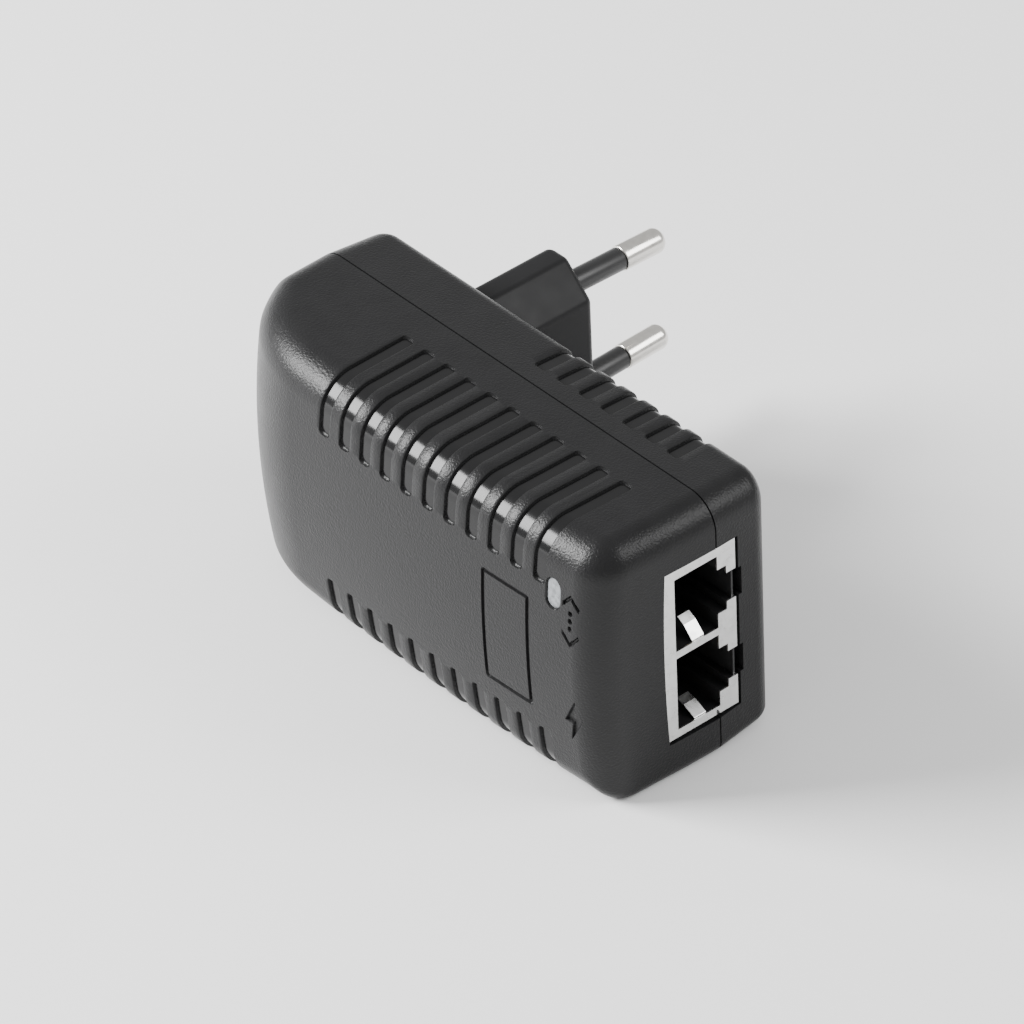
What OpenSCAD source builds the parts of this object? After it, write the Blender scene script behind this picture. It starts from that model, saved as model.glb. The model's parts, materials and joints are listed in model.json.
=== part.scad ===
// PoE injector with a built-in euro plug: ribbed two-part case, twin shielded
// RJ45 jack on the +X end, two sleeved mains pins on a moulded block towards +Y,
// and the power supply board inside. Millimetres, +Z up, it stands on its long
// narrow side; the broad domed face looks towards -Y.

/* [Case] */
// Case length along X
case_l = 86.26; // [80:0.1:95]
// Case height along Z
case_h = 44.54; // [38:0.1:50]
// Depth of the front cover from its dome to the joint line
front_d = 23.2; // [18:0.1:30]
// Depth of the rear cover behind the joint line
rear_d = 10.8; // [6:0.1:16]
// Wall thickness of both covers
wall = 2.2; // [1.6:0.1:3]
// Dome radius of the front face along its length
dome_rx = 537; // [300:1:900]
// Dome radius of the front face over its height
dome_rz = 149; // [90:1:300]
// X position where the dome along the length peaks
dome_x = 4.55; // [0:0.05:10]
// Edge radius between the front face and the top or bottom
edge_r = 5.15; // [3:0.1:7]
// Corner radius in plan at the jack end of the front face
corner_r = 5.2; // [3:0.1:8]
// Corner radius in plan at the plain end of the front face
end_r = 16.5; // [10:0.5:20]
// Draft of the rear cover walls over their depth
draft = 0.76; // [0:0.02:1.5]

/* [Ribs] */
// Number of grooves over the front edges
front_n = 11; // [5:1:14]
// Number of grooves over the rear edges
rear_n = 7; // [3:1:9]
// Groove spacing
rib_pitch = 4.718; // [4:0.001:6]
// Groove width
groove_w = 2.4; // [1.5:0.1:3]
// Groove depth
groove_t = 0.45; // [0.2:0.05:0.8]

/* [Plug] */
// Depth of the plug block beyond the rear cover
plug_d = 18.4; // [15:0.1:22]
// Half width of the plug block along X
plug_hw = 6.85; // [6:0.05:8]
// Half height of the plug block along Z
plug_hh = 15.9; // [14:0.1:18]
// X position of both pins
pin_x = -22.7; // [-26:0.05:-18]
// Z position midway between the pins
pin_z = 22.71; // [20:0.01:25]
// Distance between the pin axes at the plug face
pin_gap = 18.6; // [18:0.1:19]
// Inward lean of each pin in degrees
pin_lean = 1.66; // [0:0.01:2]
// Pin diameter
pin_dia = 4; // [3.9:0.05:4.1]
// Pin length beyond the plug face
pin_l = 19.2; // [18:0.1:20]
// Length of the insulating sleeve beyond the plug face
sleeve_l = 10.95; // [9:0.05:12]
// Sleeve diameter
sleeve_dia = 3.64; // [3.4:0.02:3.8]

/* [Jack] */
// Shield depth along Y
shield_d = 13.34; // [12:0.01:15]
// Shield height along Z over both ports
shield_h = 29.72; // [28:0.01:32]
// Shield length along X
shield_l = 21; // [18:0.5:24]
// Distance between the port centres
port_pitch = 13.97; // [13:0.01:15]
// Width of a port window along Z
port_w = 12.72; // [11.7:0.01:13]
// Depth of a port cavity from the mouth
port_d = 14.4; // [12:0.1:16]

/* [Hidden] */
$fn = 48;
y_front = -35.8;
y_seam = y_front + front_d;
y_rear = y_seam + rear_d;
y_face = y_rear + plug_d;
hl = case_l / 2;
mid = case_h / 2;
eps = 0.05;
jz = 21.74;
jx = hl - 0.33;
jy = -22.2;
jf = 1.1;
sh_z0 = jz - 14.68;
sheet = 0.25;
b_y0 = -8.3;
b_y1 = -6.7;
cav_y = y_front + wall + 1.2;
groove_x0 = -17.1;
rear_x0 = 0.97;
groove_top_y = -18.3;
rear_groove_y = -9.22;
ports = [jz - port_pitch / 2, jz + port_pitch / 2];
in_ground = 36;

// ---------- helpers ----------

function unit(v) = v / norm(v);

// Convex polygon with a true arc of radius r[i] at each corner
module round_poly(p, r) {
  n = len(p);
  a = [for (i = [0:n - 1]) unit(p[(i + n - 1) % n] - p[i])];
  b = [for (i = [0:n - 1]) unit(p[(i + 1) % n] - p[i])];
  h = [for (i = [0:n - 1]) acos(a[i] * b[i]) / 2];
  polygon([for (i = [0:n - 1]) for (s = r[i] > 0 ? [0, 1] : [0])
    p[i] + (s == 0 ? a[i] : b[i]) * (r[i] / tan(h[i]))]);
  for (i = [0:n - 1])
    if (r[i] > 0)
      translate(p[i] + unit(a[i] + b[i]) * (r[i] / sin(h[i])))
        circle(r[i], $fn = 64);
}

// Extrudes an XZ outline from y0 to y1
module along_y(y0, y1) {
  translate([0, y1, 0])
    rotate([90, 0, 0])
      linear_extrude(y1 - y0)
        children();
}

// Extrudes a YZ outline from x0 to x1
module along_x(x0, x1) {
  translate([x0, 0, 0])
    rotate([90, 0, 90])
      linear_extrude(x1 - x0)
        children();
}

module box(a, b) {
  translate(a)
    cube(b - a);
}

// Round bar between two points
module bar(a, b, r) {
  d = b - a;
  translate(a)
    rotate([0, acos(d[2] / norm(d)), atan2(d[1], d[0])])
      cylinder(h = norm(d), r = r, $fn = 24);
}

// ---------- case shape ----------

// Section of the front cover: radial distance from the dome axis against Z
module dome_profile(g) {
  c = dome_rx - dome_rz;
  rc = c + sqrt(pow(dome_rz - edge_r, 2) - pow(mid - edge_r, 2));
  zt = dome_rz * (mid - edge_r) / (dome_rz - edge_r);
  intersection() {
    translate([c, mid])
      circle(dome_rz - g, $fn = 180);
    translate([dome_rx - 30, mid - zt])
      square([40, 2 * zt]);
  }
  for (s = [-1, 1])
    translate([rc, mid + s * (mid - edge_r)])
      circle(edge_r - g, $fn = 64);
  translate([dome_rx - 30, g])
    square([rc - dome_rx + 30, case_h - 2 * g]);
}

module dome_sweep() {
  translate([dome_x, y_front + dome_rx, 0])
    rotate([0, 0, -97])
      rotate_extrude(angle = 14, $fn = 360)
        children();
}

// Outline seen along Y
module end_profile(g) {
  round_poly([[-hl + g, g], [hl - g, g], [hl - g, case_h - g], [-hl + g, case_h - g]],
    [max(3.8 - g, 0.5), max(1.9 - g, 0.5), max(4.9 - g, 0.5), max(4.8 - g, 0.5)]);
}

// Plan outline of the front cover, open towards -Y between the two corners
module plan_front() {
  cy = y_front + dome_rx;
  xr = hl - corner_r;
  yr = cy - sqrt(pow(dome_rx - corner_r, 2) - pow(xr - dome_x, 2));
  xl = -hl + end_r;
  yl = cy - sqrt(pow(dome_rx - end_r, 2) - pow(xl - dome_x, 2));
  xrt = dome_x + (xr - dome_x) * dome_rx / (dome_rx - corner_r);
  xlt = dome_x + (xl - dome_x) * dome_rx / (dome_rx - end_r);
  translate([xlt, y_front - 5])
    square([xrt - xlt, front_d + 5]);
  translate([xr, yr])
    circle(corner_r, $fn = 64);
  translate([xl, yl])
    circle(end_r, $fn = 96);
  translate([xr - 2, yr])
    square([corner_r + 2, y_seam - yr]);
  translate([-hl, yl])
    square([end_r, y_seam - yl]);
}

module case_front() {
  intersection() {
    dome_sweep()
      dome_profile(0);
    translate([0, 0, -1])
      linear_extrude(case_h + 2)
        plan_front();
    along_y(y_front - 1, y_seam)
      end_profile(0);
  }
}

// Side section of the rear cover
module rear_profile(g) {
  round_poly([[y_seam, g], [y_rear - g, draft + g], [y_rear - g, case_h - draft - g],
    [y_seam, case_h - g]], [0, 3.9 - g, 2.3 - g, 0]);
}

module case_rear() {
  intersection() {
    along_x(-hl - 1, hl + 1)
      rear_profile(0);
    translate([0, 0, -1])
      linear_extrude(case_h + 2)
        round_poly([[-hl, y_seam], [hl, y_seam], [hl - draft, y_rear], [-hl + draft, y_rear]],
          [0, 0, 3, 3]);
    along_y(y_seam - 1, y_rear + 1)
      end_profile(0);
  }
}

// Hollow inside both covers
module cavity(y0, y1) {
  intersection() {
    along_y(y0, y1)
      end_profile(wall);
    linear_extrude(case_h)
      round_poly([[-hl + wall, cav_y], [hl - wall, cav_y], [hl - wall, y_rear - wall],
        [-hl + wall, y_rear - wall]], [16, 3.5, 0.6, 0.6]);
  }
}

// Room for the jack in the end wall, with a latch notch for each port
module jack_opening() {
  box([hl - 4, jy - jf - 0.05, sh_z0 - 0.6], [hl + 1, jy + shield_d + 0.5, sh_z0 + shield_h + 0.05]);
  for (z = ports)
    box([hl - 4, -10, z - 2.45], [hl + 1, jy + 14.45, z + 2.45]);
}

// Slots over the top and bottom front edges
module front_grooves() {
  intersection() {
    dome_sweep()
      difference() {
        dome_profile(-1.5);
        dome_profile(groove_t);
      }
    union() {
      for (i = [0:front_n - 1])
        translate([groove_x0 + i * rib_pitch, 0, 0]) {
          box([0, y_front - 5, jz + 14.15], [groove_w, groove_top_y, case_h + 3]);
          box([0, y_front - 5, -3], [groove_w, groove_top_y, jz - 12.2]);
        }
    }
  }
}

module rear_grooves() {
  intersection() {
    along_x(rear_x0 - 1, hl)
      difference() {
        rear_profile(-1.5);
        rear_profile(groove_t);
      }
    union() {
      for (i = [0:rear_n - 1])
        translate([rear_x0 + i * 4.7, 0, 0]) {
          box([0, rear_groove_y, case_h - 7], [groove_w, y_rear + 3, case_h + 3]);
          box([0, rear_groove_y, -3], [groove_w, y_rear + 3, 7]);
        }
    }
  }
}

// Shallow engraving on the domed face from XZ outlines
module engrave(t) {
  intersection() {
    dome_sweep()
      difference() {
        dome_profile(-1.5);
        dome_profile(t);
      }
    along_y(y_front - 5, y_front + 6)
      children();
  }
}

// Line frame, network mark and power mark, all plain geometric signs
module marks() {
  difference() {
    translate([19.6, 12.84])
      square([9.7, 19.4]);
    translate([20.05, 13.29])
      square([8.8, 18.5]);
  }
  translate([37.75, 32.3]) {
    for (s = [-1, 1])
      polygon([[-1.6, s * 3], [0, s * 4.6], [1.6, s * 3], [1.6, s * 2.5], [0, s * 4.1],
        [-1.6, s * 2.5]]);
    for (z = [-1.4, 0, 1.4])
      translate([0, z])
        square(0.8, center = true);
  }
  translate([37.95, 14.7])
    polygon([[0.4, 3.6], [-1.7, -0.5], [-0.2, -0.5], [-0.7, -3.6], [1.7, 0.7], [0.2, 0.7]]);
}

module led_slot(g) {
  translate([34.2, 35.25]) {
    for (s = [-1, 1])
      translate([0, s * 1.1])
        circle(1.4 - g, $fn = 48);
    translate([-1.4 + g, -1.1])
      square([2.8 - 2 * g, 2.2]);
  }
}

// ---------- covers ----------

module front_cover() {
  color("#2b2b2d") {
    difference() {
      case_front();
      cavity(cav_y - 1, y_seam + 1);
      front_grooves();
      engrave(0.25)
        marks();
      along_y(y_front - 5, cav_y + 1)
        led_slot(0);
      jack_opening();
    }
    difference() {
      along_y(y_seam - 0.6, y_seam + 1.4)
        end_profile(wall - 1);
      along_y(y_seam - 1, y_seam + 2)
        end_profile(wall);
      box([hl - 5, jy - jf - 1, sh_z0 - 2], [hl + 1, 0, sh_z0 + shield_h + 1]);
    }
    for (z = [7, 37])
      translate([-34.5, b_y0 - eps, z])
        rotate([90, 0, 0])
          cylinder(h = b_y0 - eps - cav_y - 3.5, r = 1.7);
    for (z = [7, 37])
      box([-39, y_seam - 8, z - 0.6], [-34.5, y_seam - 0.7, z + 0.6]);
  }
}

module plug_profile(g) {
  polygon([[plug_hw - g, -10.85], [plug_hw - g, 10.85], [1.8, plug_hh - g],
    [-1.8, plug_hh - g], [-plug_hw + g, 10.85], [-plug_hw + g, -10.85],
    [-1.8, -plug_hh + g], [1.8, -plug_hh + g]]);
}

module rear_cover() {
  color("#2a2a2c") {
    difference() {
      case_rear();
      cavity(y_seam - 1, y_rear - wall);
      along_y(y_seam - 1, y_seam + 1.6)
        end_profile(wall - 1.08);
      rear_grooves();
      jack_opening();
      translate([pin_x, 0, pin_z])
        along_y(y_rear - 3, y_rear + 1)
          plug_profile(-0.06);
    }
    for (p = [[-36, 7, 2], [-36, 37, 2], [-8, 7, 2], [-8, 37, 2], [36.4, 5.2, 1.2],
        [36.4, 39, 1.2]])
      translate([p[0], y_rear - wall + 0.2, p[1]])
        rotate([90, 0, 0])
          cylinder(h = y_rear - wall + 0.2 - b_y1 - eps, r = p[2]);
  }
}

// ---------- plug ----------

// Places its children on a pin axis: +Z of the child runs out along the pin
module pin_axis(s) {
  translate([pin_x, y_face, pin_z + s * pin_gap / 2])
    rotate([-90 - s * pin_lean, 0, 0])
      children();
}

module plug_insert() {
  color("#2c2c2e")
    difference() {
      union() {
        translate([pin_x, 0, pin_z]) {
          difference() {
            along_y(y_rear - wall - 0.3, y_face)
              plug_profile(0);
            along_y(y_rear - wall - 1, y_face - 4)
              plug_profile(2);
          }
          difference() {
            along_y(y_rear - wall - 0.9, y_rear - wall - 0.05)
              plug_profile(-1.5);
            along_y(y_rear - wall - 2, y_rear - wall + 1)
              plug_profile(2);
          }
        }
        intersection() {
          for (s = [-1, 1])
            pin_axis(s)
              translate([0, 0, -20])
                cylinder(h = 20, r = 3.6);
          translate([pin_x, 0, pin_z])
            along_y(y_rear - wall, y_face - 1)
              plug_profile(0.5);
        }
      }
      for (s = [-1, 1])
        pin_axis(s) {
          translate([0, 0, -30])
            cylinder(h = 40, r = 1.47);
          translate([0, 0, -4])
            cylinder(h = 10, r = sleeve_dia / 2 + 0.02);
        }
    }
}

module mains_pin(s) {
  color("#c9c9c6")
    pin_axis(s) {
      translate([0, 0, -21.6])
        cylinder(h = sleeve_l + 21.7, r = 1.45);
      translate([0, 0, sleeve_l])
        cylinder(h = pin_l - sleeve_l - 1.6, r = pin_dia / 2);
      translate([0, 0, pin_l - 1.6])
        intersection() {
          sphere(r = pin_dia / 2, $fn = 64);
          cylinder(h = 1.6, r = pin_dia / 2);
        }
    }
}

module pin_sleeve(s) {
  color("#232325")
    pin_axis(s)
      translate([0, 0, -3.95])
        difference() {
          cylinder(h = sleeve_l + 3.9, r = sleeve_dia / 2);
          translate([0, 0, -1])
            cylinder(h = sleeve_l + 6, r = 1.47);
        }
}

module mains_pin_upper() {
  mains_pin(1);
}

module mains_pin_lower() {
  mains_pin(-1);
}

module pin_sleeve_upper() {
  pin_sleeve(1);
}

module pin_sleeve_lower() {
  pin_sleeve(-1);
}

// ---------- indicator ----------

module light_pipe() {
  color("#b9bcc0") {
    along_y(y_front + 1.95, cav_y + 0.5)
      led_slot(0.04);
    along_y(cav_y + 0.05, cav_y + 1.1)
      led_slot(-0.8);
  }
}

module status_led() {
  color("#e8f4e8") {
    translate([34.2, cav_y + 5.8, 38.4])
      rotate([90, 0, 0]) {
        cylinder(h = 3.2, r = 1.5);
        translate([0, 0, 2.9])
          sphere(r = 1.5);
        cylinder(h = 0.8, r = 1.7);
      }
    for (s = [-1, 1])
      bar([34.2 + s, cav_y + 5.5, 38.4], [34.2 + s, b_y0 - eps, 38.4], 0.25);
  }
}

// ---------- board ----------

module main_board() {
  color("#1f5c3a")
    difference() {
      box([-39.5, b_y0, 3.6], [38, b_y1, 40.6]);
      for (x = [25.5, 35.5])
        for (z = [sh_z0 + 0.13, sh_z0 + shield_h - 0.13])
          box([x - 0.8, b_y0 - 1, z - 0.35], [x + 0.8, b_y1 + 1, z + 0.35]);
      for (z = ports)
        for (i = [0:7])
          translate([23.8 + 2.2 * (i % 2), b_y1 + 1, z + (i - 3.5) * 1.27])
            rotate([90, 0, 0])
              cylinder(h = 4, r = 0.32, $fn = 16);
    }
}

// ---------- jack ----------

// Stepped port outline as boxes: wide mouth, two steps for the latch
module port_cut(x0, x1, z, g) {
  box([x0, jy + 1.99 - g, z - port_w / 2 - g], [x1, jy + 9.95 + g, z + port_w / 2 + g]);
  box([x0, jy + 9, z - 3.88 - g], [x1, jy + 11.63 + g, z + 3.88 + g]);
  box([x0, jy + 11, z - 2.515 - g], [x1, jy + shield_d + 1, z + 2.515 + g]);
}

module jack_shield() {
  color("#cfd0cf") {
    difference() {
      box([jx - shield_l, jy - jf, sh_z0], [jx, jy + shield_d, sh_z0 + shield_h]);
      box([jx - shield_l + sheet, jy - jf + sheet, sh_z0 + sheet],
        [jx - sheet, jy + shield_d - sheet, sh_z0 + shield_h - sheet]);
      box([jx - shield_l + 1, jy + shield_d - 1, sh_z0 + 1],
        [jx - 5, jy + shield_d + 1, sh_z0 + shield_h - 1]);
      for (z = ports)
        port_cut(jx - 1, jx + 1, z, 0);
      for (z = ports)
        box([jx - 8, jy + shield_d - 1, z - 2.515], [jx + 1, jy + shield_d + 1, z + 2.515]);
    }
    for (x = [25.5, 35.5])
      for (z = [sh_z0, sh_z0 + shield_h - sheet])
        box([x - 0.6, jy + shield_d - 0.5, z], [x + 0.6, b_y1 + 0.9, z + sheet]);
  }
}

module jack_housing() {
  g = sheet + 0.05;
  color("#161617")
    difference() {
      box([jx - shield_l + g, jy - jf + g, sh_z0 + g],
        [jx - g, jy + shield_d - g, sh_z0 + shield_h - g]);
      for (z = ports) {
        intersection() {
          port_cut(jx - port_d, jx + 1, z, 0.04);
          box([0, -50, 0], [60, jy + 12.72, 50]);
        }
        box([jx - port_d, jy + 0.9, z - 4.6], [jx - 2.6, jy + 3, z + 4.6]);
      }
    }
}

module jack_tails() {
  color("#c9b36a")
    for (z = ports)
      for (i = [0:7])
        translate([23.8 + 2.2 * (i % 2), b_y1 + 0.9, z + (i - 3.5) * 1.27])
          rotate([90, 0, 0])
            cylinder(h = b_y1 + 0.9 - jy - shield_d + 0.26, r = 0.23, $fn = 16);
}

// Eight sprung wires of one port, hinged near the mouth
module contact_set(z) {
  for (i = [0:7])
    bar([jx - 3.4, jy + 1.4, z + (i - 3.5) * 1.02], [jx - 13.2, jy + 5.15, z + (i - 3.5) * 1.02],
      0.22);
  translate([jx - 3.4, jy + 1.4, z - 4])
    cylinder(h = 8, r = 0.3, $fn = 24);
}

module lan_contacts() {
  color("#d2b25c")
    contact_set(ports[1]);
}

module poe_contacts() {
  color("#d2b25c")
    contact_set(ports[0]);
}

// Grounding finger bent into the port from its edge; s = 1 at the low edge,
// rise is the lean of its root leaf and back how far the tip leaf bends back
module ground_spring(z, s, rise, back) {
  translate([jx - 0.3, jy + 5.2, z - s * (port_w / 2 - 0.16)])
    mirror([0, 0, s > 0 ? 0 : 1])
      rotate([0, rise, 0]) {
        box([-2.45, 0, -0.1], [0, 2.16, 0.1]);
        rotate([-90, 0, 0])
          cylinder(h = 2.16, r = 0.1, $fn = 24);
        translate([-2.45, 0, 0])
          rotate([0, -back, 0]) {
            box([-1.5, 0, -0.1], [0, 2.16, 0.1]);
            rotate([-90, 0, 0])
              cylinder(h = 2.16, r = 0.1, $fn = 24);
          }
      }
}

module lan_ground_spring_low() {
  color("#d8d9d8")
    ground_spring(ports[1], 1, 47, 17);
}

module lan_ground_spring_high() {
  color("#d8d9d8")
    ground_spring(ports[1], -1, 40, 15);
}

module poe_ground_spring_low() {
  color("#d8d9d8")
    ground_spring(ports[0], 1, 26, 12);
}

module poe_ground_spring_high() {
  color("#d8d9d8")
    ground_spring(ports[0], -1, 40, 15);
}

// ---------- power supply parts ----------

// Cylinder standing on the board towards -Y
module on_board(x, z, r, h) {
  translate([x, b_y0 - eps, z])
    rotate([90, 0, 0])
      cylinder(h = h, r = r);
}

module block(x0, x1, z0, z1, h0, h1) {
  box([x0, b_y0 - eps - h1, z0], [x1, b_y0 - eps - h0, z1]);
}

module transformer_core() {
  color("#3b3b40")
    difference() {
      block(-7, 13, 11.5, 31.5, 6.5, 12.5);
      for (z = [14.5, 24.5])
        block(-4, 10, z, z + 4, 6, 13);
    }
}

module transformer_bobbin() {
  color("#1c1c1e") {
    difference() {
      union() {
        for (x = [-3.9, 8.9])
          block(x, x + 1, 14.6, 28.4, 3, 16);
        block(-3.5, 9.5, 17.7, 25.3, 5.8, 13.3);
      }
      block(-5, 11, 18.45, 24.55, 6.45, 12.55);
    }
    for (x = [-3.9, 7.9])
      block(x, x + 2, 14.6, 28.4, 1, 3.4);
    for (x = [-2.9, 8.9])
      for (z = [16, 19.6, 23.2, 26.8])
        on_board(x, z, 0.35, 1.2);
  }
}

module transformer_winding() {
  color("#d9b53c")
    difference() {
      block(-2.85, 8.85, 14.7, 28.3, 3.6, 15.6);
      block(-5, 11, 17.65, 25.35, 5.75, 13.35);
      for (z = [[11, 14.6], [28.4, 33]])
        block(-5, 11, z[0], z[1], 5, 14);
      for (z = [[14.6, 14.62], [28.38, 28.4]])
        block(-5, 11, z[0], z[1], 5, 14);
    }
}

module mains_capacitors() {
  color("#2f3346")
    for (z = [9.5, 20.5]) {
      on_board(-14, z, 5, 16);
      on_board(-14, z, 4.6, 16.4);
    }
}

module common_mode_choke() {
  color("#8a4b22")
    translate([-26, b_y0 - eps - 0.3, 14])
      rotate([90, 0, 0])
        rotate_extrude($fn = 64)
          translate([3.2, 0])
            square([3.6, 7.5]);
}

module x_capacitor() {
  color("#c7b04a")
    block(-39.2, -33.4, 10.2, 22.6, 0, 11);
}

module fuse() {
  color("#7d2f2a") {
    translate([-35.6, b_y0 - eps - 1, 30])
      rotate([90, 0, 0])
        cylinder(h = 7.6, r = 3.6);
    for (s = [-1, 1])
      on_board(-35.6 + s * 2, 30, 0.3, 1.2);
  }
}

module varistor() {
  color("#2c5f8a") {
    translate([-30.4, b_y0 - eps - 5, 30])
      rotate([0, 90, 0])
        cylinder(h = 3.6, r = 4);
    for (s = [-1, 1])
      on_board(-28.6, 30 + s * 2.2, 0.3, 3);
  }
}

module bridge_rectifier() {
  color("#1d1d1f") {
    block(-26, -19.6, 25.8, 34.4, 0.6, 4);
    for (x = [-25.7, -20.4])
      for (z = [27, 32.6])
        block(x, x + 0.5, z, z + 0.6, 0, 0.8);
  }
}

module to220(x, z, s) {
  block(x - 5, x + 5, s > 0 ? z - 4.4 : z, s > 0 ? z : z + 4.4, 4, 13);
  block(x - 5, x + 5, s > 0 ? z - 1.3 : z, s > 0 ? z : z + 1.3, 12.5, 18.5);
  for (i = [-1, 0, 1])
    block(x + i * 2.54 - 0.4, x + i * 2.54 + 0.4, z - s * 2.6 - 0.25, z - s * 2.6 + 0.25, 0, 4.5);
}

module primary_heatsink() {
  color("#a9adb1")
    block(-19, -6, 38.2, 39.8, 0.3, 20);
}

module switching_transistor() {
  color("#202022")
    to220(-12.5, 38.15, 1);
}

module output_heatsink() {
  color("#a9adb1")
    block(9.2, 21, 38.2, 39.8, 0.3, 20);
}

module output_diode() {
  color("#202022")
    to220(15.2, 38.15, 1);
}

module so_part(x, z, w, l, h) {
  block(x - w / 2, x + w / 2, z - l / 2, z + l / 2, 0.15, h);
  for (s = [-1, 1])
    for (i = [-1.5:1:1.5])
      block(x + i * 1.27 - 0.2, x + i * 1.27 + 0.2, z + s * (l / 2 + 0.45) - 0.5,
        z + s * (l / 2 + 0.45) + 0.5, 0, 0.4);
}

module controller_ic() {
  color("#1b1b1d")
    so_part(-1, 7, 5, 3.9, 1.6);
}

module optocoupler() {
  color("#26262a")
    so_part(8.4, 7, 4.6, 4.4, 3.4);
}

module y_capacitor() {
  color("#3f7fb5") {
    translate([1.5, b_y0 - eps - 5.5, 34.2])
      cylinder(h = 3.4, r = 4.4);
    for (s = [-1, 1])
      on_board(1.5 + s * 3, 35.9, 0.3, 4);
  }
}

module output_capacitors() {
  color("#274063")
    for (z = [8.8, 18]) {
      on_board(17.6, z, 4, 12.5);
      on_board(17.6, z, 3.7, 12.8);
    }
}

module output_inductor() {
  color("#6b3d20") {
    on_board(17.6, 27, 4, 1.2);
    on_board(17.6, 27, 3.2, 8);
    translate([0, -8, 0])
      on_board(17.6, 27, 4, 1.2);
  }
}

module resistors() {
  color("#2d6f9e")
    for (p = [[-27.4, 5.2], [-22, 5.2], [-7.6, 8.4], [3.6, 8.4], [12.6, 5.4], [6.4, 34.6]])
      block(p[0] - 1, p[0] + 1, p[1] - 0.62, p[1] + 0.62, 0, 0.6);
}

// ---------- leads and insulation ----------

// Lead from the inner end of a pin to a pad on the board
module lead(s) {
  z0 = pin_z + s * (pin_gap / 2 + 0.6);
  z1 = pin_z + s * 8;
  y0 = -5.9;
  bar([pin_x + 0.8, y0, z0], [-31.8, y0, z1], 0.6);
  bar([-31.8, y0 + 0.1, z1], [-31.8, b_y1 + eps, z1], 0.68);
}

module live_wire() {
  color("#8a3d22")
    lead(1);
}

module neutral_wire() {
  color("#2a5fa0")
    lead(-1);
}

module insulating_sheet() {
  color("#d8d4c4")
    box([-4.5, y_rear - wall - 0.4, 5], [34.8, y_rear - wall - 0.05, 39.5]);
}

front_cover();
rear_cover();
plug_insert();
mains_pin_upper();
mains_pin_lower();
pin_sleeve_upper();
pin_sleeve_lower();
light_pipe();
status_led();
main_board();
jack_housing();
jack_shield();
jack_tails();
lan_contacts();
poe_contacts();
lan_ground_spring_low();
lan_ground_spring_high();
poe_ground_spring_low();
poe_ground_spring_high();
transformer_core();
transformer_bobbin();
transformer_winding();
mains_capacitors();
common_mode_choke();
x_capacitor();
fuse();
varistor();
bridge_rectifier();
primary_heatsink();
switching_transistor();
controller_ic();
optocoupler();
y_capacitor();
output_heatsink();
output_diode();
output_capacitors();
output_inductor();
resistors();
live_wire();
neutral_wire();
insulating_sheet();
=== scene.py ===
# Looks of the PoE injector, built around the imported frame.
# Lengths below are in millimetres; make() scales them to metres.
import bmesh
import bpy
import json
import math
import numpy as np
from mathutils import Matrix, Vector


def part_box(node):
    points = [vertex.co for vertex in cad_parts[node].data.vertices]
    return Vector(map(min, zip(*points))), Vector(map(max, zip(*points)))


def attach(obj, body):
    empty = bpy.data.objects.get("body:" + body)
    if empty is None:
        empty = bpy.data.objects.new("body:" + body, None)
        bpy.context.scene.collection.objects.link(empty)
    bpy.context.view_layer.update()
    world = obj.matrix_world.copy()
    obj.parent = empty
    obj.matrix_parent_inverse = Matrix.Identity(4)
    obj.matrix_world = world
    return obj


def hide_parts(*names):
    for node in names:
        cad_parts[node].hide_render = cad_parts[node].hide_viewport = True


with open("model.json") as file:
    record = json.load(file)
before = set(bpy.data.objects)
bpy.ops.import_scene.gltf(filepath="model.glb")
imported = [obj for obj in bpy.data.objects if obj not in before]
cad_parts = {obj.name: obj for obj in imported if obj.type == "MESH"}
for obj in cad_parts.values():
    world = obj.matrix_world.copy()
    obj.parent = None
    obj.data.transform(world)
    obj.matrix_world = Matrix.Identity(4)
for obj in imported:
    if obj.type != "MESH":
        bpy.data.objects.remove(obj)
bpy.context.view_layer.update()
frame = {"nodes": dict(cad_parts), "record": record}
MM = 0.001


def box_mm(node):
    a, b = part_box(node)
    return np.array(a) / MM, np.array(b) / MM


# ---------- sizes shared with the frame ----------
fc0, fc1 = box_mm("front_cover")
rc0, rc1 = box_mm("rear_cover")
sh0, sh1 = box_mm("jack_shield")
XL, XR, YF, YS, YB = rc0[0], rc1[0], fc0[1], rc0[1], rc1[1]
Z0, Z1 = fc0[2], fc1[2]
MID_X, HALF_X = 0.5 * (XL + XR), 0.5 * (XR - XL)
MID_Z, HALF_Z = 0.5 * (Z0 + Z1), 0.5 * (Z1 - Z0)
JF = 1.1                      # shield in front of the ports
SHIELD_W, SHIELD_H = 13.84, 29.72
HALF_PITCH = 6.985            # half the distance between the ports
JX, JY, JZ = sh1[0], sh0[1] + JF, sh0[2] + 14.68
PORTS = (JZ - HALF_PITCH, JZ + HALF_PITCH)
SH_Z0, SH_Z1 = sh0[2], sh0[2] + SHIELD_H
PIN_X, PIN_Z, PIN_OFF = -22.7, 22.71, 9.3
FACE_Y, LEAN = YB + 18.4, 1.66   # plug face, and how far each pin leans in degrees
GROOVE_X, GROOVE_P, GROOVE_W, GROOVE_T = -17.1, 4.718, 2.4, 0.45
REAR_X, REAR_P = 0.97, 4.7
TOP_END, BOTTOM_END, BACK_END = JZ + 14.15, JZ - 12.2, -18.3
REAR_END = -9.22
FRONT_COUNT, REAR_COUNT = 11, 7
DOME_X, DOME_RX, DOME_RZ = 4.55, 537.0, 149.3
LED_X, LED_Z, LED_R, LED_HALF = 34.2, 35.25, 1.4, 1.1   # window, with half its straight part
FRAME_X, FRAME_Z, FRAME_HX, FRAME_HZ = 24.45, 22.54, 4.62, 9.47
NET_X, NET_Z = 37.75, 32.3    # centre of the network sign
BOLT_X, BOLT_Z = 37.95, 14.7  # centre of the lightning bolt
END_BOW = 1.07                # how far the left end curves away at the top and bottom
MARK_T = 0.45                 # depth of the marks
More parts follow.
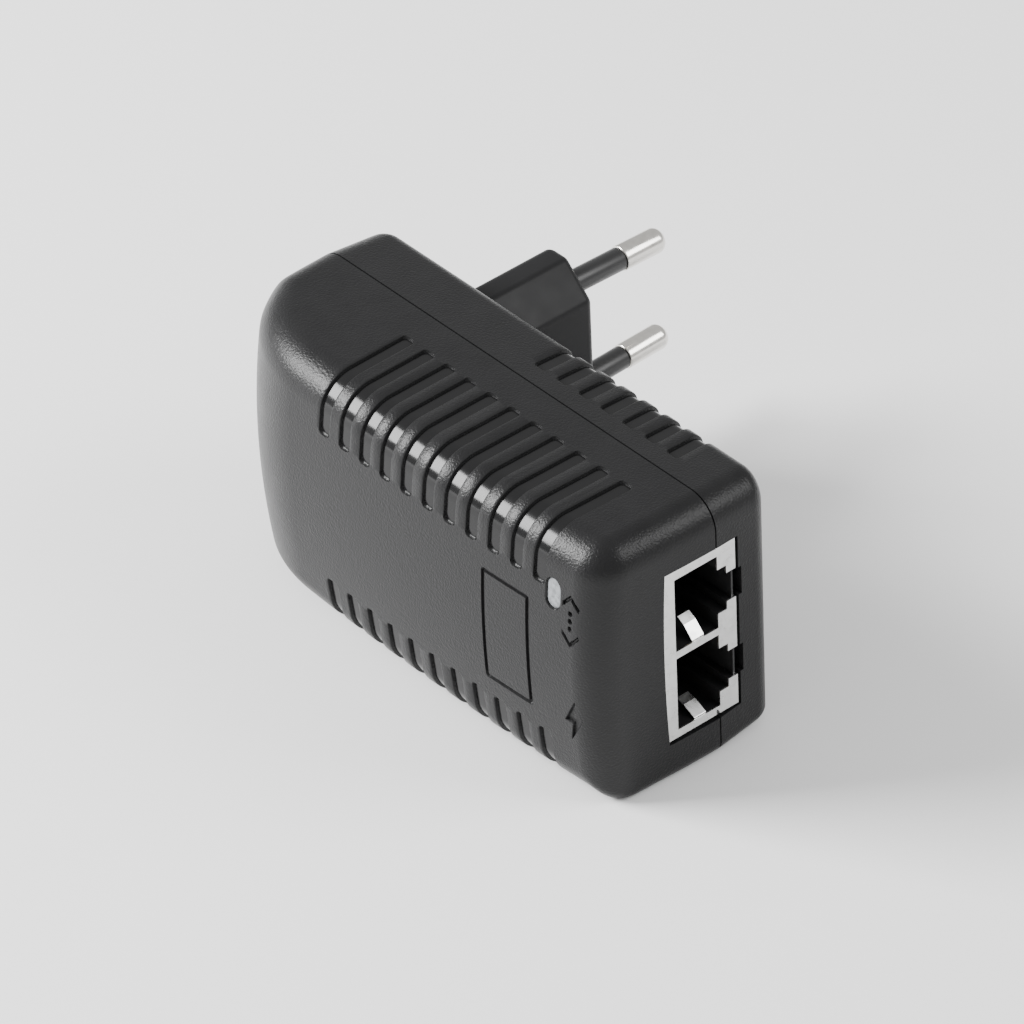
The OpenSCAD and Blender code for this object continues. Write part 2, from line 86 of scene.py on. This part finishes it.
WALL_T = 2.2                  # depth of the jack opening's sides


# ---------- mesh helpers ----------
def make(name, verts, faces, mats, index=None, sharp=38, body="case", stands=None):
    """Mesh object in metres from millimetre vertices, smooth with sharp creases, riding on a body."""
    me = bpy.data.meshes.new(name)
    points = [tuple(v) for v in np.asarray(verts, float) * MM]
    me.from_pydata(points, [], [tuple(int(i) for i in f) for f in faces])
    for m in mats:
        me.materials.append(m)
    if index is not None:
        me.polygons.foreach_set("material_index", np.asarray(index, np.int32))
    me.update()
    ob = bpy.data.objects.new(name, me)
    bpy.context.scene.collection.objects.link(ob)
    bm = bmesh.new()
    bm.from_mesh(me)
    bmesh.ops.remove_doubles(bm, verts=bm.verts, dist=2e-6)
    bm.to_mesh(me)
    bm.free()
    me.shade_smooth()
    me.set_sharp_from_angle(angle=math.radians(sharp))
    if body:
        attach(ob, body)
    if stands:
        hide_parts(*stands)
    return ob


def lines(lo, hi, step, zones=(), marks=()):
    """Sorted grid lines from lo to hi, finer inside each (a, b, step) zone, with exact lines at marks."""
    out = list(np.linspace(lo, hi, max(2, int(math.ceil((hi - lo) / step)) + 1)))
    for a, b, s in zones:
        a, b = max(a, lo), min(b, hi)
        out = [v for v in out if v < a - s * 0.5 or v > b + s * 0.5 or v in (lo, hi)]
        out += list(np.linspace(a, b, max(2, int(math.ceil((b - a) / s)) + 1)))
    out = [v for v in out if all(abs(v - m) > 0.045 for m in marks) or v in (lo, hi)] + list(marks)
    out = np.array(sorted(out))
    keep = [0]
    for i in range(1, len(out)):
        if out[i] - out[keep[-1]] > 0.03:
            keep.append(i)
    out = out[keep]
    out[-1] = hi
    return out


def quads(n, m, flip=False):
    """Faces of an n by m grid of points."""
    i, j = np.meshgrid(np.arange(n - 1), np.arange(m - 1), indexing="ij")
    a = (i * m + j).ravel()
    q = np.stack([a, a + m, a + m + 1, a + 1], 1)
    return q[:, ::-1] if flip else q


def normals(P):
    """Unit normals of a grid of points."""
    du = np.gradient(P, axis=0)
    dv = np.gradient(P, axis=1)
    n = np.cross(du, dv)
    return n / np.maximum(np.linalg.norm(n, axis=2, keepdims=True), 1e-12)


def smooth(t):
    """Soft step from 0 to 1."""
    t = np.clip(t, 0, 1)
    return t * t * (3 - 2 * t)


def rect_sdf(x, y, cx, cy, hx, hy, r):
    """Distance to a rounded rectangle, negative inside."""
    qx, qy = np.abs(x - cx) - hx + r, np.abs(y - cy) - hy + r
    return np.hypot(np.maximum(qx, 0), np.maximum(qy, 0)) + np.minimum(np.maximum(qx, qy), 0) - r


def poly_sdf(x, y, pts):
    """Distance to a polygon, negative inside."""
    d = np.full(x.shape, 1e9)
    inside = np.zeros(x.shape, bool)
    for (x0, y0), (x1, y1) in zip(pts, pts[1:] + pts[:1]):
        ex, ey = x1 - x0, y1 - y0
        t = np.clip(((x - x0) * ex + (y - y0) * ey) / (ex * ex + ey * ey), 0, 1)
        d = np.minimum(d, np.hypot(x - x0 - t * ex, y - y0 - t * ey))
        cross = (y0 > y) != (y1 > y)
        inside ^= cross & (x < ex * (y - y0) / (ey if ey else 1e-9) + x0)
    return np.where(inside, -d, d)


# ---------- the case surface ----------
def to_disc(a, b):
    """Square corner coordinates to round ones."""
    m, h = np.maximum(a, b), np.hypot(a, b)
    k = np.where(h > 0, m / np.maximum(h, 1e-12), 1.0)
    return a * k, b * k


def front_shape(x, y, z):
    """Point on the sharp box of the front cover to its rounded, domed place."""
    RX, RY, RR = 19.2, 14.0, 5.24
    dl, dr, df = x - XL, XR - x, y - YF
    n = np.minimum(np.minimum(dl, dr), df)
    left = (dl < RX) & (df < RY) & (dl < dr)
    right = (dr < RR) & (df < RR) & ~left
    a = np.clip(np.where(left, 1 - dl / RX, np.where(right, 1 - dr / RR, 0)), 0, 1)
    b = np.clip(np.where(left, 1 - df / RY, np.where(right, 1 - df / RR, 0)), 0, 1)
    m, hy = np.maximum(a, b), np.maximum(np.hypot(a, b), 1e-9)
    ca, cb = a / hy, b / hy
    ex, ey, sx = np.where(left, RX, RR), np.where(left, RY, RR), np.where(left, -1.0, 1.0)
    nx0, ny0 = ca / ex, cb / ey
    q = np.maximum(np.hypot(nx0, ny0), 1e-9)
    nx0, ny0 = nx0 / q, ny0 / q
    R = ex * nx0 ** 2 + ey * ny0 ** 2
    cor = left | right
    n = np.where(cor, (1 - m) * R, n)
    cx, cy = np.where(left, XL + RX, XR - RR), np.where(left, YF + RY, YF + RR)
    k = np.minimum(6.0, R * 0.98)
    ix = cx + sx * ex * ca - sx * nx0 * np.minimum(n, k)
    iy = cy - ey * cb + ny0 * np.minimum(n, k)
    t = np.clip((n - k) / np.maximum(R - k, 1e-6), 0, 1)
    X, Y = np.where(cor, ix + (cx - ix) * t, x), np.where(cor, iy + (cy - iy) * t, y)
    isl = ~cor & (dl <= dr) & (dl <= df)
    isr = ~cor & (dr < dl) & (dr <= df)
    isf = ~cor & ~isl & ~isr
    nx = np.where(cor, sx * nx0, np.where(isl, -1.0, np.where(isr, 1.0, 0.0)))
    ny = np.where(cor, -ny0, np.where(isf, -1.0, 0.0))
    wl = np.where(left, smooth(np.abs(nx)), np.where(isl, 1.0, 0.0))
    wr = np.where(right, smooth(np.abs(nx)), np.where(isr, 1.0, 0.0))
    top = z > MID_Z
    r = np.where(top, 5.2 - 0.4 * wl - 0.3 * wr, 5.1 - 1.3 * wl - 3.2 * wr)
    h = np.where(top, Z1 - z, z - Z0)
    c = (n < r) & (h < r)
    A, B = np.where(c, r - n, 0.0), np.where(c, r - h, 0.0)
    A2, B2 = to_disc(A, B)
    X, Y = X - nx * (A - A2), Y - ny * (A - A2)
    Z = np.where(top, z - (B - B2), z + (B - B2))
    u = np.clip((YS - Y) / (YS - YF), 0, 1.2)
    s, t = (X - MID_X) / HALF_X, (Z - MID_Z) / HALF_Z
    bow = np.where(s < 0, 0.51 * u + 0.23 * u * u + END_BOW * t * t, 0.24 * u + 0.6 * u * u)
    X = X - s * bow
    w = smooth((YS - 4 - Y) / (YS - 12 - YF))
    return X, Y + w * ((X - DOME_X) ** 2 / (2 * DOME_RX) + (Z - MID_Z) ** 2 / (2 * DOME_RZ)), Z


def rear_shape(x, y, z):
    """Point on the sharp box of the rear cover to its rounded, tapered place."""
    dl, dr = x - XL, XR - x
    top = z > MID_Z
    h = np.where(top, Z1 - z, z - Z0)
    r = np.where(top, np.where(dl < dr, 4.8, 4.9), np.where(dl < dr, 3.8, 1.9))
    d = np.minimum(dl, dr)
    n = np.minimum(d, h)
    c = (d < r) & (h < r)
    A, B = np.where(c, r - d, 0.0), np.where(c, r - h, 0.0)
    A2, B2 = to_disc(A, B)
    sx, sz = np.where(dl < dr, -1.0, 1.0), np.where(top, 1.0, -1.0)
    X = np.where(c, np.where(dl < dr, XL + r - A2, XR - r + A2), x)
    Z = np.where(c, np.where(top, Z1 - r + B2, Z0 + r - B2), z)
    k = np.maximum(np.hypot(A2, B2), 1e-9)
    nx = np.where(c, sx * A2 / k, np.where(d <= h, sx, 0.0))
    nz = np.where(c, sz * B2 / k, np.where(d <= h, 0.0, sz))
    q = YB - y
    rr = np.where(nz > 0, 2.3, 3.9) * nz ** 2 + 3.0 * nx ** 2
    c2 = (q < rr) & (n < rr)
    A, B = np.where(c2, rr - n, 0.0), np.where(c2, rr - q, 0.0)
    A2, B2 = to_disc(A, B)
    X, Z, Y = X - nx * (A - A2), Z - nz * (A - A2), y - (B - B2)
    u = np.clip((Y - YS) / (YB - YS), 0, 1)
    s, t = (X - MID_X) / HALF_X, (Z - MID_Z) / HALF_Z
    return X - s * (0.75 * u + np.where(s < 0, END_BOW * t * t, 0.0)), Y, Z - t * 0.76 * u


SEAM = 0.12   # half width of the joint line
# opening for the jack, with yn and hn for the depth and half height of its latch notches
OPEN = dict(y0=JY - JF - 0.05, y1=JY + SHIELD_W, z0=SH_Z0 - 0.6, z1=SH_Z1 + 0.05,
            yn=JY + 14.45, hn=2.45)


def in_opening(y, z):
    """True where a point of the end wall is in the jack opening."""
    o = (y > OPEN["y0"]) & (y < OPEN["y1"]) & (z > OPEN["z0"]) & (z < OPEN["z1"])
    for p in PORTS:
        o |= (y > OPEN["y1"] - 1) & (y < OPEN["yn"]) & (np.abs(z - p) < OPEN["hn"])
    return o


def joint_lip(rim, sign, tongue):
    """Rows that turn the edge of a cover inwards at the joint; rim is the row of edge points."""
    def inset(d, y):
        q = rim.copy()
        for k, m, half in ((0, MID_X, HALF_X), (2, MID_Z, HALF_Z)):
            q[:, k] = m + (q[:, k] - m) * (1 - d / half)
        q[:, 1] = y
        return q

    y = YS + sign * SEAM
    rows = [rim, inset(0.05, y), inset(0.75, y)]
    if tongue:
        rows += [inset(0.75, YS - sign * 0.7), inset(1.6, YS - sign * 0.7)]
    else:
        rows += [inset(1.6, y)]
    return rows


def engraving(x, z):
    """Depth of the line frame and the two plain signs on the broad face."""
    f = rect_sdf(x, z, FRAME_X, FRAME_Z, FRAME_HX, FRAME_HZ, 0.3)
    shapes = []
    for s in (-1, 1):
        chevron = [(-1.55, s * 2.7), (0.0, s * 4.35), (1.55, s * 2.7),
                   (1.55, s * 2.05), (0.0, s * 3.7), (-1.55, s * 2.05)]
        shapes.append(poly_sdf(x - NET_X, z - NET_Z, chevron))
    for k in (-1.3, 0.0, 1.3):
        shapes.append(np.hypot(x - NET_X, z - NET_Z - k) - 0.36)
    bolt = [(0.4, 3.6), (-1.7, -0.5), (-0.2, -0.5), (-0.7, -3.6), (1.7, 0.7), (0.2, 0.7)]
    shapes.append(poly_sdf(x - BOLT_X, z - BOLT_Z, bolt))
    d = MARK_T * smooth((0.34 - np.abs(f)) / 0.12)
    for shape in shapes:
        d = np.maximum(d, MARK_T * smooth(0.5 - shape / 0.12))
    return d


def line_marks(edges):
    """Grid lines on and beside the engraved lines."""
    return [e + 0.12 * k for e in edges for k in range(-3, 4)]


def cover_grid(front):
    """Grid lines of a cover along X, Y and Z, closer where there is detail."""
    ya, yb = (YF, YS - SEAM) if front else (YS + SEAM, YB)
    xg, pitch, count = groove_row(front)
    x_zones = [(XL, XL + 5.6, 0.42), (XR - 5.8, XR, 0.42), (XL + 5.6, XL + 20, 0.9)]
    x_zones += [(xg + i * pitch - 0.16, xg + i * pitch + GROOVE_W + 0.16, 0.13) for i in range(count)]
    z_zones = [(Z0, Z0 + 5.6, 0.4), (Z1 - 5.6, Z1, 0.4)]
    x_marks, z_marks = [], []
    if front:
        x_zones += [(35.85, 39.85, 0.11), (32.5, 35.9, 0.14)]
        x_marks = line_marks((FRAME_X - FRAME_HX, FRAME_X + FRAME_HX))
        z_marks = line_marks((FRAME_Z - FRAME_HZ, FRAME_Z + FRAME_HZ))
        y_zones = [(YF, YF + 5.6, 0.4), (BACK_END - 1.0, BACK_END + 0.2, 0.15)]
        ys = lines(ya, yb, 1.3, y_zones, [OPEN["y0"]])
        z_zones += [(TOP_END - 0.2, TOP_END + 1.0, 0.15), (BOTTOM_END - 1.0, BOTTOM_END + 0.2, 0.15)]
        z_zones += [(10.9, 18.5, 0.13), (27.7, 36.9, 0.13), (32.5, 38.1, 0.14)]
    else:
        y_zones = [(YB - 4.2, YB, 0.3), (REAR_END - 0.2, REAR_END + 1.0, 0.15)]
        ys = lines(ya, yb, 1.0, y_zones, [OPEN["y1"], OPEN["yn"]])
        z_zones += [(5.6, 7.2, 0.15), (Z1 - 7.2, Z1 - 5.6, 0.15)]
    xs = lines(XL, XR, 1.7, x_zones, x_marks)
    z_marks += [OPEN["z0"], OPEN["z1"]] + [p + s * OPEN["hn"] for p in PORTS for s in (-1, 1)]
    return xs, ys, lines(Z0, Z1, 1.3, z_zones, sorted(set(z_marks)))


def groove_row(front):
    """First groove, pitch and number of grooves of a cover."""
    return (GROOVE_X, GROOVE_P, FRONT_COUNT) if front else (REAR_X, REAR_P, REAR_COUNT)


def opening_walls(hole, size, front):
    """Faces between the end wall's edge points and their copies set back into the case."""
    rows, cols = hole.shape
    L = cols + 1
    H = np.pad(hole, 1)
    wall = []
    for i in range(rows + 1):
        if i == (rows if front else 0):
            continue   # the joint line has no wall across the opening
        for j in range(cols):
            if H[i, j + 1] != H[i + 1, j + 1]:
                a, b = i * L + j, i * L + j + 1
                wall.append([a, b, b + size, a + size][::1 if H[i, j + 1] else -1])
    for i in range(rows):
        for j in range(cols + 1):
            if H[i + 1, j] != H[i + 1, j + 1]:
                a, b = i * L + j, (i + 1) * L + j
                wall.append([a, b, b + size, a + size][::-1 if H[i + 1, j] else 1])
    return np.array(wall)


def build_cover(front):
    """Points, faces and material numbers of a cover with its grooves, marks and openings."""
    shape = front_shape if front else rear_shape
    end_y = YF if front else YB
    xg, pitch, count = groove_row(front)
    xs, ys, zs = cover_grid(front)
    # one strip over the top, the broad face and the bottom
    run = ys[::-1] if front else ys
    ty = np.concatenate([run, np.full(len(zs) - 2, end_y), run[::-1]])
    tz = np.concatenate([np.full(len(run), Z1), zs[::-1][1:-1], np.full(len(run), Z0)])
    depth = abs(end_y - run[0])
    height = Z1 - Z0
    T = np.concatenate([np.abs(run - run[0]), depth + (Z1 - zs[::-1][1:-1]),
                        depth + height + np.abs(run[::-1] - end_y)])
    grids = (xs[:, None], ty[None], tz[None], T[None])
    xx, yy, zzg, tt = (np.broadcast_to(a, (len(xs), len(ty))) for a in grids)
    P = np.stack(shape(xx, yy, zzg), 2)
    nr = normals(P)
    if nr[len(xs) // 2, len(run) // 3, 2] < 0:
        nr = -nr
    if front:
        spans = [(depth - (BACK_END - YF), depth + (Z1 - TOP_END)),
                 (depth + (Z1 - BOTTOM_END), depth + height + (BACK_END - YF))]
    else:
        spans = [(REAR_END - run[0], depth + 6.2),
                 (depth + height - 6.2, 2 * depth + height - (REAR_END - run[0]))]
    cut = np.zeros(xx.shape)
    for i in range(count):
        for t0, t1 in spans:
            cx, ct = xg + i * pitch + GROOVE_W / 2, 0.5 * (t0 + t1)
            f = rect_sdf(xx, tt, cx, ct, GROOVE_W / 2, 0.5 * (t1 - t0), 0.75)
            cut = np.maximum(cut, smooth(0.5 - f / 0.12))
    d = GROOVE_T * cut
    face = (yy == end_y)
    if front:
        d = np.where(face, np.maximum(d, engraving(xx, zzg)), d)
        pill = rect_sdf(xx, zzg, LED_X, LED_Z, LED_R, LED_R + LED_HALF, 1.39)
        d = np.where(face, np.maximum(d, 0.5 * smooth(0.5 - pill / 0.14)), d)
    P = P - nr * d[:, :, None]
    n, m = P.shape[:2]
    V, F, K = [P.reshape(-1, 3)], [quads(n, m, not front)], []
    cm = 0.25 * (cut[:-1, :-1] + cut[1:, :-1] + cut[:-1, 1:] + cut[1:, 1:])
    K.append((cm > 0.97).astype(int).ravel())
    base = n * m
    # both ends, with the jack opening left out of the right one
    ends = []
    for side, x0 in ((-1, XL), (1, XR)):
        Y, Z = np.meshgrid(ys, zs, indexing="ij")
        E = np.stack(shape(np.full_like(Y, x0), Y, Z), 2)
        q = quads(len(ys), len(zs), side < 0)
        if side > 0:
            yc, zc = 0.5 * (ys[:-1] + ys[1:]), 0.5 * (zs[:-1] + zs[1:])
            hole = in_opening(yc[:, None], zc[None])
            q = q[~hole.ravel()]
            W = E.copy()
            W[:, :, 0] -= WALL_T
            wall = opening_walls(hole, E[:, :, 0].size, front)
            V.append(np.concatenate([E.reshape(-1, 3), W.reshape(-1, 3)]))
            F += [q + base, wall + base]
            K += [np.zeros(len(q), int), np.zeros(len(wall), int)]
            base += 2 * E[:, :, 0].size
        else:
            V.append(E.reshape(-1, 3))
            F.append(q + base)
            K.append(np.zeros(len(q), int))
            base += E[:, :, 0].size
        ends.append(E)
    # lip all round the joint
    k = -1 if front else 0
    left, right = ends
    rim = np.concatenate([P[:, 0], right[k][::-1][1:], P[::-1, -1][1:], left[k][1:]])
    rows = joint_lip(rim, -1 if front else 1, front)
    G = np.stack(rows)
    skip = in_opening(np.full(G.shape[1], YS), G[0, :, 2]) & (G[0, :, 0] > XR - 1.5)
    q = quads(G.shape[0], G.shape[1], not front)
    keep = [not (skip[f[0] % G.shape[1]] and skip[f[2] % G.shape[1]]) for f in q]
    q = q[np.array(keep)]
    V.append(G.reshape(-1, 3))
    F.append(q + base)
    K.append(np.zeros(len(q), int))
    used = np.unique(np.concatenate([f.ravel() for f in F]))
    V = np.concatenate(V)
    remap = np.full(len(V), -1)
    remap[used] = np.arange(len(used))
    return V[used], remap[np.concatenate(F)], np.concatenate(K)


# ---------- materials ----------
def spread(nt, source, lo, hi):
    """Node that spreads a noise value over lo to hi."""
    node = nt.nodes.new("ShaderNodeMapRange")
    node.inputs["From Min"].default_value = 0.25
    node.inputs["From Max"].default_value = 0.75
    node.inputs["To Min"].default_value = lo
    node.inputs["To Max"].default_value = hi
    nt.links.new(source, node.inputs["Value"])
    return node.outputs["Result"]


def noise_node(nt, coords, scale, detail):
    """Noise texture in the object's own space; returns its value."""
    node = nt.nodes.new("ShaderNodeTexNoise")
    node.inputs["Scale"].default_value = scale
    node.inputs["Detail"].default_value = detail
    nt.links.new(coords.outputs["Object"], node.inputs["Vector"])
    return node.outputs["Fac"]


def material(name, base, rough, metal=0.0, spec=0.5, noise=None, bump=None):
    """Principled material with a procedural variation of colour, roughness and relief.

    noise is (scale per metre, colour amount, roughness amount), and bump is
    (scale per metre, strength, depth in mm).
    """
    m = bpy.data.materials.new(name)
    m.use_nodes = True
    nt = m.node_tree
    b = nt.nodes["Principled BSDF"]
    b.inputs["Base Color"].default_value = (*base, 1)
    b.inputs["Roughness"].default_value = rough
    b.inputs["Metallic"].default_value = metal
    b.inputs["Specular IOR Level"].default_value = spec
    coords = nt.nodes.new("ShaderNodeTexCoord")
    if noise:
        scale, colour, gloss = noise
        value = noise_node(nt, coords, scale, 3)
        tone = nt.nodes.new("ShaderNodeVectorMath")
        tone.operation = "SCALE"
        tone.inputs[0].default_value = base
        nt.links.new(spread(nt, value, 1 - colour, 1 + colour), tone.inputs["Scale"])
        nt.links.new(tone.outputs["Vector"], b.inputs["Base Color"])
        low, high = max(0.02, rough - gloss), min(1.0, rough + gloss)
        nt.links.new(spread(nt, value, low, high), b.inputs["Roughness"])
    if bump:
        scale, strength, relief = bump
        node = nt.nodes.new("ShaderNodeBump")
        node.inputs["Strength"].default_value = strength
        node.inputs["Distance"].default_value = relief * MM
        nt.links.new(noise_node(nt, coords, scale, 2), node.inputs["Height"])
        nt.links.new(node.outputs["Normal"], b.inputs["Normal"])
    return m


# colour, roughness and metal of each material, with its variation and relief
M = {}


def add(name, *look, **detail):
    """Keeps a material under its own name."""
    M[name] = material(name, *look, **detail)


add("case_plastic", (0.010, 0.010, 0.0104), 0.33, spec=0.2, noise=(260, 0.10, 0.03), bump=(3000, 1.0, 0.07))
add("groove_floor", (0.008, 0.008, 0.0083), 0.15, spec=0.22,
    noise=(300, 0.06, 0.02), bump=(1400, 0.1, 0.004))
add("plug_plastic", (0.011, 0.011, 0.0115), 0.42, spec=0.16,
    noise=(300, 0.08, 0.04), bump=(2600, 0.35, 0.02))
add("sleeve_plastic", (0.010, 0.010, 0.0105), 0.38, noise=(400, 0.06, 0.03))
add("pin_nickel", (0.72, 0.70, 0.66), 0.2, 1.0, noise=(900, 0.05, 0.06))
add("light_pipe", (0.20, 0.21, 0.22), 0.45, noise=(1800, 0.4, 0.1), bump=(2600, 0.8, 0.06))
add("led_lens", (0.8, 0.86, 0.8), 0.15, noise=(300, 0.03, 0.03))
add("board", (0.02, 0.13, 0.06), 0.35, noise=(500, 0.12, 0.05))
add("jack_plastic", (0.006, 0.006, 0.0065), 0.5, noise=(500, 0.1, 0.05))
add("shield_tin", (0.80, 0.80, 0.79), 0.3, 1.0, noise=(700, 0.05, 0.08), bump=(1500, 0.06, 0.01))
add("contact_gold", (0.62, 0.46, 0.20), 0.28, 1.0, noise=(700, 0.06, 0.05))
add("ferrite", (0.05, 0.05, 0.055), 0.55, noise=(600, 0.15, 0.08))
add("black_part", (0.02, 0.02, 0.021), 0.45, noise=(600, 0.12, 0.06))
add("tape_yellow", (0.72, 0.46, 0.05), 0.3, noise=(200, 0.06, 0.05))
add("capacitor_sleeve", (0.03, 0.05, 0.13), 0.28, noise=(250, 0.06, 0.04))
add("copper_wire", (0.42, 0.16, 0.06), 0.3, 0.6, noise=(900, 0.2, 0.08))
add("film_yellow", (0.62, 0.42, 0.07), 0.35, noise=(250, 0.05, 0.04))
add("fuse_brown", (0.17, 0.05, 0.04), 0.42, noise=(250, 0.08, 0.05))
add("disc_blue", (0.04, 0.16, 0.38), 0.3, noise=(250, 0.08, 0.05))
add("aluminium", (0.70, 0.71, 0.72), 0.35, 1.0, noise=(900, 0.05, 0.08))
add("wire_brown", (0.22, 0.07, 0.03), 0.4, noise=(400, 0.06, 0.04))
add("wire_blue", (0.03, 0.11, 0.36), 0.4, noise=(400, 0.06, 0.04))
add("sheet_cream", (0.62, 0.58, 0.46), 0.5, noise=(200, 0.05, 0.05))

slots = {s["node"]: s["material_slot"] for s in frame["record"]["subparts"]}
for name, ob in frame["nodes"].items():
    ob.data.materials.clear()
    ob.data.materials.append(M[slots[name]])

# ---------- case ----------
for which, node in ((True, "front_cover"), (False, "rear_cover")):
    V, F, K = build_cover(which)
    skins = [M["case_plastic"], M["groove_floor"]]
    make("case_" + ("front" if which else "rear"), V, F, skins, K, 40,
         stands=[node])


def light_window():
    """Light guide: a slightly domed oblong window in its recess."""
    V, F = [], []
    rings = [(1.36, -0.5), (1.36, 0.0), (1.30, 0.06), (1.15, 0.09), (0.7, 0.1), (0.02, 0.1)]
    cnt = 40
    for r, up in rings:
        for i in range(cnt):
            a = 2 * math.pi * i / cnt
            x = LED_X + r * math.cos(a)
            z = LED_Z + r * math.sin(a) + (LED_HALF if math.sin(a) >= 0 else -LED_HALF)
            X, Y, Z = front_shape(np.array([x]), np.array([YF]), np.array([z]))
            V.append((X[0], Y[0] + 0.36 - up, z))
    for k in range(len(rings) - 1):
        for i in range(cnt):
            j = (i + 1) % cnt
            F.append((k * cnt + i, k * cnt + j, (k + 1) * cnt + j, (k + 1) * cnt + i))
    F.append(tuple(range((len(rings) - 1) * cnt, len(rings) * cnt)))
    return V, F


V, F = light_window()
make("indicator_window", V, F, [M["light_pipe"]], sharp=50)


# ---------- plug ----------
def rounded(pts, r, seg=6):
    """Convex outline with rounded corners."""
    out = []
    n = len(pts)
    for i in range(n):
        p, a, b = (np.array(pts[k % n], float) for k in (i, i - 1, i + 1))
        u, v = (a - p) / np.linalg.norm(a - p), (b - p) / np.linalg.norm(b - p)
        h = math.acos(float(np.clip(u @ v, -1, 1))) / 2
        t, c = r / math.tan(h), p + (u + v) / np.linalg.norm(u + v) * r / math.sin(h)
        s, e = p + u * t - c, p + v * t - c
        a0, a1 = math.atan2(s[1], s[0]), math.atan2(e[1], e[0])
        da = (a1 - a0 + math.pi) % (2 * math.pi) - math.pi
        for w in (a0 + da * k / seg for k in range(seg + 1)):
            out.append(c + r * np.array([math.cos(w), math.sin(w)]))
    return np.array(out)


HEX = [(6.85, -10.85), (6.85, 10.85), (1.8, 15.9), (-1.8, 15.9),
       (-6.85, 10.85), (-6.85, -10.85), (-1.8, -15.9), (1.8, -15.9)]
edge = 1.3   # rounding round the plug's face
rings = [(0.0, YB - 1.2), (0.0, FACE_Y - edge)]
for a in np.linspace(0.2, math.pi / 2, 7):
    rings.append((edge * (1 - math.cos(a)), FACE_Y - edge + edge * math.sin(a)))


def hex_corner(x, z, inset):
    """A corner of the plug's outline, moved in by inset."""
    side, end = (0.8 if abs(x) < 5 else 1), (0.75 if abs(z) < 12 else 1)
    return x - np.sign(x) * inset * side, z - np.sign(z) * inset * end


V, F = [], []
for inset, y in rings:
    o = rounded([hex_corner(x, z, inset) for x, z in HEX], 1.5 - 0.6 * inset / edge)
    V += [(PIN_X + p[0], y, PIN_Z + p[1]) for p in o]
c = len(V) // len(rings)
for k in range(len(rings) - 1):
    F += [(k * c + i, (k + 1) * c + i, (k + 1) * c + (i + 1) % c, k * c + (i + 1) % c) for i in range(c)]
F.append(tuple(range((len(rings) - 1) * c, len(rings) * c))[::-1])
make("plug_block", V, F, [M["plug_plastic"]], sharp=30, stands=["plug_insert"])


def lathe(profile, s, seg=48):
    """Revolves (radius, distance) pairs about a pin axis."""
    t = math.radians(LEAN)
    ax = np.array([0, math.cos(t), -s * math.sin(t)])
    up = np.array([0, s * math.sin(t), math.cos(t)])
    o = np.array([PIN_X, FACE_Y, PIN_Z + s * PIN_OFF])
    V, F = [], []
    for r, d in profile:
        for a in np.arange(seg) * 2 * math.pi / seg:
            V.append(o + ax * d + r * (np.array([math.cos(a), 0, 0]) + up * math.sin(a)))
    for k in range(len(profile) - 1):
        for i in range(seg):
            j = (i + 1) % seg
            F.append((k * seg + i, k * seg + j, (k + 1) * seg + j, (k + 1) * seg + i))
    F.append(tuple(range((len(profile) - 1) * seg, len(profile) * seg)))
    return V, F


for s, word in ((1, "upper"), (-1, "lower")):
    tip = [(2.0 * math.cos(a), 17.6 + 1.6 * math.sin(a)) for a in np.linspace(0, 1.5, 11)]
    shank = [(1.4, -3.0), (1.4, 10.9), (1.9, 10.97), (1.98, 11.05), (2.0, 11.2)]
    V, F = lathe(shank + tip + [(0.01, 19.2)], s)
    make("pin_metal_" + word, V, F, [M["pin_nickel"]], sharp=50,
         stands=["mains_pin_" + word])
    V, F = lathe([(1.82, -0.4), (1.82, 10.75), (1.78, 10.9), (1.45, 10.94)], s)
    make("pin_sleeve_part_" + word, V, F, [M["sleeve_plastic"]], sharp=50,
         stands=["pin_sleeve_" + word])

# ---------- stage, light and camera ----------
me = bpy.data.meshes.new("floor")
me.from_pydata([(-6, -6, 0), (6, -6, 0), (6, 6, 0), (-6, 6, 0)], [], [(0, 1, 2, 3)])
floor = bpy.data.objects.new("floor", me)
bpy.context.scene.collection.objects.link(floor)
me.materials.append(material("floor_paper", (0.86, 0.86, 0.86), 0.9, noise=(3, 0.01, 0.02)))

world = bpy.data.worlds.new("studio")
bpy.context.scene.world = world
world.use_nodes = True
world.node_tree.nodes["Background"].inputs["Color"].default_value = (1, 1, 1, 1)
world.node_tree.nodes["Background"].inputs["Strength"].default_value = 0.74


def area(name, toward, dist, size, power):
    """Soft square light in a direction from the part, aimed back at it."""
    d = Vector(toward).normalized()
    light = bpy.data.lights.new(name, "AREA")
    light.shape = "SQUARE"
    light.size = size
    light.energy = power
    o = bpy.data.objects.new(name, light)
    o.location = d * dist + Vector((0, 0, 0.02))
    o.rotation_euler = (-d).to_track_quat("-Z", "Y").to_euler()
    bpy.context.scene.collection.objects.link(o)


area("key", (-0.61, -0.61, 0.50), 0.9, 0.42, 25)
area("back", (0.61, 0.50, 0.61), 0.9, 0.45, 5)

cam = bpy.data.cameras.new("camera")
cam.lens = 291.94
cam.sensor_width = 36
cam.clip_start = 0.05
co = bpy.data.objects.new("camera", cam)
bpy.context.scene.collection.objects.link(co)
eye = np.array([JX, JY, JZ]) + np.array([683.738, -587.709, 727.702])
back = np.array([0.61048, -0.50108, 0.61337])   # from the object towards the camera
roll = math.radians(2.5438)
level = np.array([-back[1], back[0], 0]) / math.hypot(back[0], back[1])
right = math.cos(roll) * level - math.sin(roll) * np.cross(back, level)
rows = list(zip(right, np.cross(back, right), back, eye * MM))
co.matrix_world = Matrix([[float(v) for v in row] for row in rows] + [[0, 0, 0, 1]])
bpy.context.scene.camera = co
